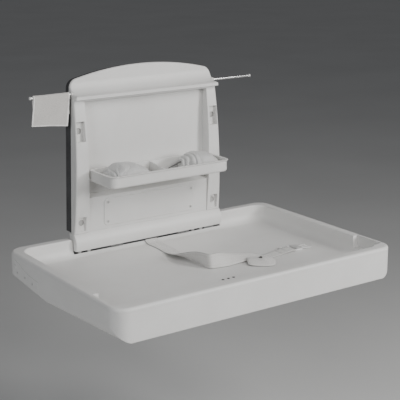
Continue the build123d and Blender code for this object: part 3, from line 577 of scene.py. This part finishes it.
buckle_turn = math.radians(-4)
buckle_place = Matrix.Translation(on_bed(303, -340, -49.7)) @ Matrix.Rotation(buckle_turn, 4, "Z")
slide_shift, fitting_bevel = -0.034, 0.55
prong = [(15, 8), (27, 9.5), (36, 12), (41, 10.5), (47, 13), (47.5, 15.5), (44, 17.5), (35, 18.5),
         (26, 16), (15, 15)]
plug_body = [(-5, -21.5), (7, -21.5), (13, -19), (16.5, -15.5), (16.5, 15.5), (13, 19), (7, 21.5), (-5, 21.5)]
rail = [(-16.5, 19), (-4.5, 18), (-4.5, 21.5), (-14, 21.5)]
plug_parts = [(plug_body, 0.4, 6.8), (rail, 0.6, 6.0), (flipped(rail), 0.6, 6.0),
              (bar((-16.5, -13), (-20, 20)), 1.2, 4.6),
              (prong, 1.8, 5.4), (flipped(prong), 1.8, 5.4), (bar((15, 44), (-2, 2)), 2.0, 5.0)]
plug_parts += [(bar((along, along + 1.8), (-13, 13)), 6.6, 7.6) for along in (-1.0, 3.0, 7.0)]
add_piece("buckle_plug_shape", prisms("buckle_plug_shape", plug_parts, buckle_place, fitting_bevel), "bed",
          "buckle_plastic", ["buckle_plug"])
slide_place = buckle_place @ Matrix.Translation((slide_shift, 0, 0))
slide_parts = [(bar((-8, -5), (-21.5, 21.5)), 0.6, 4.8), (bar((5, 8), (-21.5, 21.5)), 0.6, 4.8),
               (bar((-1.5, 1.5), (-21.5, 21.5)), 0.8, 4.4), (bar((-8, 8), (20, 23)), 0.4, 5.0),
               (bar((-8, 8), (-23, -20)), 0.4, 5.0)]
add_piece("belt_slide_shape", prisms("belt_slide_shape", slide_parts, slide_place, fitting_bevel), "bed",
          "buckle_plastic", ["belt_slide"])


# ---------------------------------------------------------------- towel
def eased(value, low, high):
    """0 below low, 1 above high, and smooth between."""
    share = min(1.0, max(0.0, (value - low) / (high - low)))
    return share * share * (3 - 2 * share)


def slab_mesh(name, rows, thickness, uv_step):
    """Cloth through a grid of points, with its own thickness(row, column) and UVs in metres."""
    mesh = bpy.data.meshes.new(name)
    bm = bmesh.new()
    uv_layer = bm.loops.layers.uv.new("cloth")
    last_row, last_column = len(rows) - 1, len(rows[0]) - 1
    layers = ([], [])
    for r, row in enumerate(rows):
        for layer in layers:
            layer.append([])
        for c, point in enumerate(row):
            down = rows[min(r + 1, last_row)][c] - rows[max(r - 1, 0)][c]
            over = row[min(c + 1, last_column)] - row[max(c - 1, 0)]
            offset = down.cross(over).normalized() * thickness(r, c) / 2
            layers[0][r].append(bm.verts.new(point + offset))
            layers[1][r].append(bm.verts.new(point - offset))

    def add_face(corners):
        face = bm.faces.new([layers[layer][r][c] for layer, r, c in corners])
        for loop, (layer, r, c) in zip(face.loops, corners):
            loop[uv_layer].uv = (c * uv_step[1], r * uv_step[0])

    for r in range(last_row):
        for c in range(last_column):
            around = [(r, c), (r + 1, c), (r + 1, c + 1), (r, c + 1)]
            add_face([(0, *at) for at in around])
            add_face([(1, *at) for at in reversed(around)])
        for c in (0, last_column):
            add_face([(0, r, c), (0, r + 1, c), (1, r + 1, c), (1, r, c)])
    for c in range(last_column):
        for r in (0, last_row):
            add_face([(0, r, c), (0, r, c + 1), (1, r, c + 1), (1, r, c)])
    bmesh.ops.recalc_face_normals(bm, faces=bm.faces)
    bm.to_mesh(mesh)
    bm.free()
    smooth(mesh)
    return mesh


rail_low, rail_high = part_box("towel_rail")
rail_y, rail_z = (rail_low.y + rail_high.y) / 2, (rail_low.z + rail_high.z) / 2
towel_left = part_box("towel")[0].x - 0.0005
towel_rows, towel_columns = 96, 60
towel_skew = 0.010                       # how much lower the front hem is at its right end
front_lean, front_slant = 0.022, 0.135   # per metre of drop, out from the wall and to the left
rear_lean, rear_slant = 0.030, 0.075     # the same behind, towards the wall and to the right


def towel_point(along, across):
    """Where a point of the cut cloth hangs: along from the front hem, across from its left edge."""
    share = across / towel_width
    front = front_drop + towel_skew * (share - 0.5)
    drop = max(0.0, front - along)
    back = max(0.0, along - front - over_rail)
    turn = min(math.pi, max(0.0, (along - front) / turn_radius))
    radius = turn_radius + 0.0005 * noise.noise(Vector((across * 45, 3.1, 0))) * math.sin(turn)
    y = rail_y - radius * math.cos(turn)
    z = rail_z + radius * math.sin(turn) - drop - back
    wave = math.sin(7.3 * share + 0.6) + 0.55 * math.sin(15.1 * share + 2.2 + 20 * drop)
    crease = noise.noise(Vector((across * 38, along * 24, 1.7)))
    y += -0.0011 * eased(drop, 0.0, 0.05) * (wave + crease) - front_lean * drop
    y += 0.0008 * eased(back, 0.0, 0.04) * (wave - crease) + rear_lean * back
    z += 0.0012 * eased(drop, 0.03, front_drop) * math.sin(2.4 * share + 0.4)
    x = towel_left + across - front_slant * drop + rear_slant * back
    x += 0.0006 * noise.noise(Vector((across * 20, along * 60, 5)))
    return Vector((x, y, z))


def towel_thickness(row, column):
    """The pile, and rolled hems along the cut's edges."""
    along, across = row * towel_length / towel_rows, column * towel_width / towel_columns
    from_side = min(across, towel_width - across)
    from_end = min(along, towel_length - along)
    hem = max(1 - eased(from_side, 0.0030, 0.0044), 1 - eased(from_end, 0.0050, 0.0066))
    groove = max(math.exp(-((from_side - 0.0048) / 0.0007) ** 2) * (from_end > 0.004),
                 math.exp(-((from_end - 0.0072) / 0.0009) ** 2))
    edge = eased(min(from_side, from_end), -0.0006, 0.0012)
    return (0.0021 + 0.0011 * hem - 0.0009 * groove) * edge


towel_grid = [[towel_point(r * towel_length / towel_rows, c * towel_width / towel_columns)
               for c in range(towel_columns + 1)] for r in range(towel_rows + 1)]
towel = add_piece("towel_cloth", slab_mesh("towel_cloth", towel_grid, towel_thickness,
                                           (towel_length / towel_rows, towel_width / towel_columns)),
                  "wall_unit", "towel_cloth", ["towel"])
applied(towel, ("SUBSURF", {"levels": 1, "render_levels": 1}))


# ---------------------------------------------------------------- soft packs
tray_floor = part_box("tray_divider")[0].z
pack_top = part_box("soft_pack_left")[1].z


def pack_form(name, limits, depth_limits, profile):
    """A plain closed bag that lies on the tray's floor, before it is filled and pleated.

    profile gives (share of its length, share of its height, share of its depth).
    """
    long_steps, round_steps = 60, 60
    squareness, flat_share = 2.6, 0.14   # of the bag's section: its corners, and its flat base
    middle_y = bed_rear + sum(depth_limits) / 2000
    half_depth = (depth_limits[1] - depth_limits[0]) / 2000
    height = pack_top - tray_floor - 0.0040
    mesh = bpy.data.meshes.new(name)
    bm = bmesh.new()
    rings = []
    for i in range(long_steps + 1):
        share = i / long_steps
        for (s0, h0, d0), (s1, h1, d1) in zip(profile, profile[1:]):
            if s0 <= share <= s1:
                step = eased(share, s0, s1)
                tall, wide = h0 + (h1 - h0) * step, d0 + (d1 - d0) * step
        x = (limits[0] + (limits[1] - limits[0]) * share) / 1000
        ring = []
        for j in range(round_steps):
            angle = 2 * math.pi * j / round_steps
            across, up = math.cos(angle), math.sin(angle)
            squared = (abs(across) ** squareness + abs(up) ** squareness) ** (-1 / squareness)
            slack = 1 + 0.04 * noise.noise(Vector((x * 30, across * 1.5, up * 1.5)))
            y = middle_y + half_depth * wide * across * squared * slack
            rise = max(0.0, (up * squared * slack + 1) / 2 - flat_share) / (1 - flat_share)
            ring.append(bm.verts.new((x, y, tray_floor + 0.0008 + height * tall * rise)))
        rings.append(ring)
    for ring, onward in zip(rings, rings[1:]):
        for j in range(round_steps):
            k = (j + 1) % round_steps
            bm.faces.new((ring[j], ring[k], onward[k], onward[j]))
    for ring in (rings[0], rings[-1]):
        bm.faces.new(ring)
    bmesh.ops.recalc_face_normals(bm, faces=bm.faces)
    bm.to_mesh(mesh)
    bm.free()
    smooth(mesh)
    return mesh


def filled(piece, voxel, pressure, cap, frames=20):
    """Swells a piece's even mesh with a short cloth simulation, no point moving beyond cap."""
    applied(piece, ("REMESH", {"mode": "VOXEL", "voxel_size": voxel, "use_smooth_shade": True}))
    before = [vertex.co.copy() for vertex in piece.data.vertices]
    cloth = piece.modifiers.new("filling", "CLOTH")
    cloth.settings.quality = 5
    cloth.settings.mass = 0.2
    cloth.settings.use_pressure = True
    cloth.settings.uniform_pressure_force = pressure
    cloth.settings.effector_weights.gravity = 0
    cloth.point_cache.frame_start, cloth.point_cache.frame_end = 1, frames
    for frame_number in range(1, frames + 1):
        bpy.context.scene.frame_set(frame_number)
    swollen = piece.evaluated_get(bpy.context.evaluated_depsgraph_get())
    after = [vertex.co.copy() for vertex in swollen.data.vertices]
    piece.modifiers.remove(cloth)
    bpy.context.scene.frame_set(1)
    for vertex, start, end in zip(piece.data.vertices, before, after):
        move = end - start
        vertex.co = start + move * min(1.0, cap / max(move.length, 1e-9))
    applied(piece, ("SUBSURF", {"levels": 1, "render_levels": 1}))
    smooth(piece.data)


def pleated(piece, gather, fold):
    """Pushes folds into a soft piece; fold gives their depth at an offset from the gather."""
    mesh = piece.data
    normals = [vertex.normal.copy() for vertex in mesh.vertices]
    for vertex, normal in zip(mesh.vertices, normals):
        vertex.co -= normal * fold(vertex.co - gather)
        vertex.co.z = max(vertex.co.z, tray_floor + 0.0006)


def fan_fold(offset):
    """Pleats that fan out from the gather over the pack's top."""
    reach = offset.length
    climb = offset.z + 0.55 * offset.y
    bearing = math.atan2(climb, offset.x) + 0.16 * noise.noise(offset * 40)
    crease = (1 - abs(math.sin(3.9 * bearing + 0.5))) ** 2.2
    fine = (1 - abs(math.sin(9.5 * bearing + 1.1))) ** 2.0
    near, far = eased(reach, 0.004, 0.018), 1 - eased(reach, 0.034, 0.088)
    soft = 0.0012 * noise.noise(offset * 48)
    return near * far * (0.0066 * crease + 0.0016 * fine) + soft


def rolled_fold(offset):
    """Bulges one behind another beside the tie, with dark folds between them."""
    reach = Vector((offset.x, 0.35 * offset.y, 0.35 * offset.z)).length
    warped = reach + 0.0045 * noise.noise(offset * 26 + Vector((3, 0, 0)))
    crease = (1 - abs(math.sin(math.pi * warped / 0.0128))) ** 1.8
    far = 1 - eased(reach, 0.026, 0.064)
    bearing = math.atan2(offset.z, offset.y)
    fine = (1 - abs(math.sin(6 * bearing + 30 * reach))) ** 2.0 * (1 - eased(reach, 0.006, 0.030))
    soft = 0.0012 * noise.noise(offset * 44 + Vector((0, 7, 0)))
    return far * 0.0072 * crease + 0.0016 * fine + soft


pack_shapes = {
    "left": ((-188, -36), (-149, -56), fan_fold, on_bed(-170, -146, 178),
             [(0, 0.10, 0.24), (0.05, 0.46, 0.60), (0.14, 0.76, 0.86), (0.32, 1.0, 1.0), (0.56, 0.98, 1.0),
              (0.78, 0.68, 0.88), (0.93, 0.36, 0.64), (1, 0.12, 0.30)]),
    "right": ((62, 189), (-148, -56), rolled_fold, on_bed(62, -104, 194),
              [(0, 0.62, 0.20), (0.04, 0.80, 0.34), (0.16, 0.90, 0.52), (0.32, 0.98, 0.86),
               (0.50, 1.0, 1.0), (0.72, 0.93, 1.0), (0.88, 0.68, 0.90), (0.97, 0.42, 0.72), (1, 0.20, 0.5)]),
}
packs = {}
for side, (limits, depths, fold, gather, profile) in pack_shapes.items():
    name = f"pack_{side}"
    packs[side] = add_piece(name, pack_form(name, limits, depths, profile), "tray", "pack_cloth",
                            [f"soft_pack_{side}"])
    filled(packs[side], voxel=0.0035, pressure=4.0, cap=0.0025)
    pleated(packs[side], gather, fold)
    applied(packs[side], ("SUBSURF", {"levels": 1, "render_levels": 1}))
    smooth(packs[side].data)

# The tie at the right pack's gathered end.
tie_route = [
    ((72, -111, 197), (72, -105, 199)), ((62, -110, 198), (61, -104, 199.5)),
    ((50, -109, 193), (49, -103, 194)), ((36, -108, 189), (36, -102, 189)),
    ((24, -109, 187), (25, -103, 185)), ((16, -111, 181), (19, -105, 180)),
    ((15, -114, 178.5), (18, -108, 178)),
]
tie_edges = [curve_through([on_bed(*pair[side]) for pair in tie_route], 6) for side in (0, 1)]
pack_tie = add_piece("pack_tie", strip_mesh("pack_tie", *tie_edges, thickness=0.0014, inset=0.0005),
                     "tray", "webbing")
# The tie is coloured near black: painted shade, standing in for its shaded underside.
pack_tie.data.materials[0] = woven_webbing("tie_webbing_painted_shade", scaled(colours["webbing"], 0.16))

for soft in (*packs.values(), pack_tie):
    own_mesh(soft)
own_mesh(belt_strap)


# ---------------------------------------------------------------- floor and last lines
floor_mesh = bpy.data.meshes.new("floor")
floor_reach, floor_height = 60, -0.95
corners = [(x * floor_reach, y * floor_reach, floor_height) for x, y in ((-1, -1), (1, -1), (1, 1), (-1, 1))]
floor_mesh.from_pydata(corners, [], [(0, 1, 2, 3)])
floor_mesh.materials.append(pale_floor("floor_paint"))
floor = bpy.data.objects.new("floor", floor_mesh)
bpy.context.scene.collection.objects.link(floor)
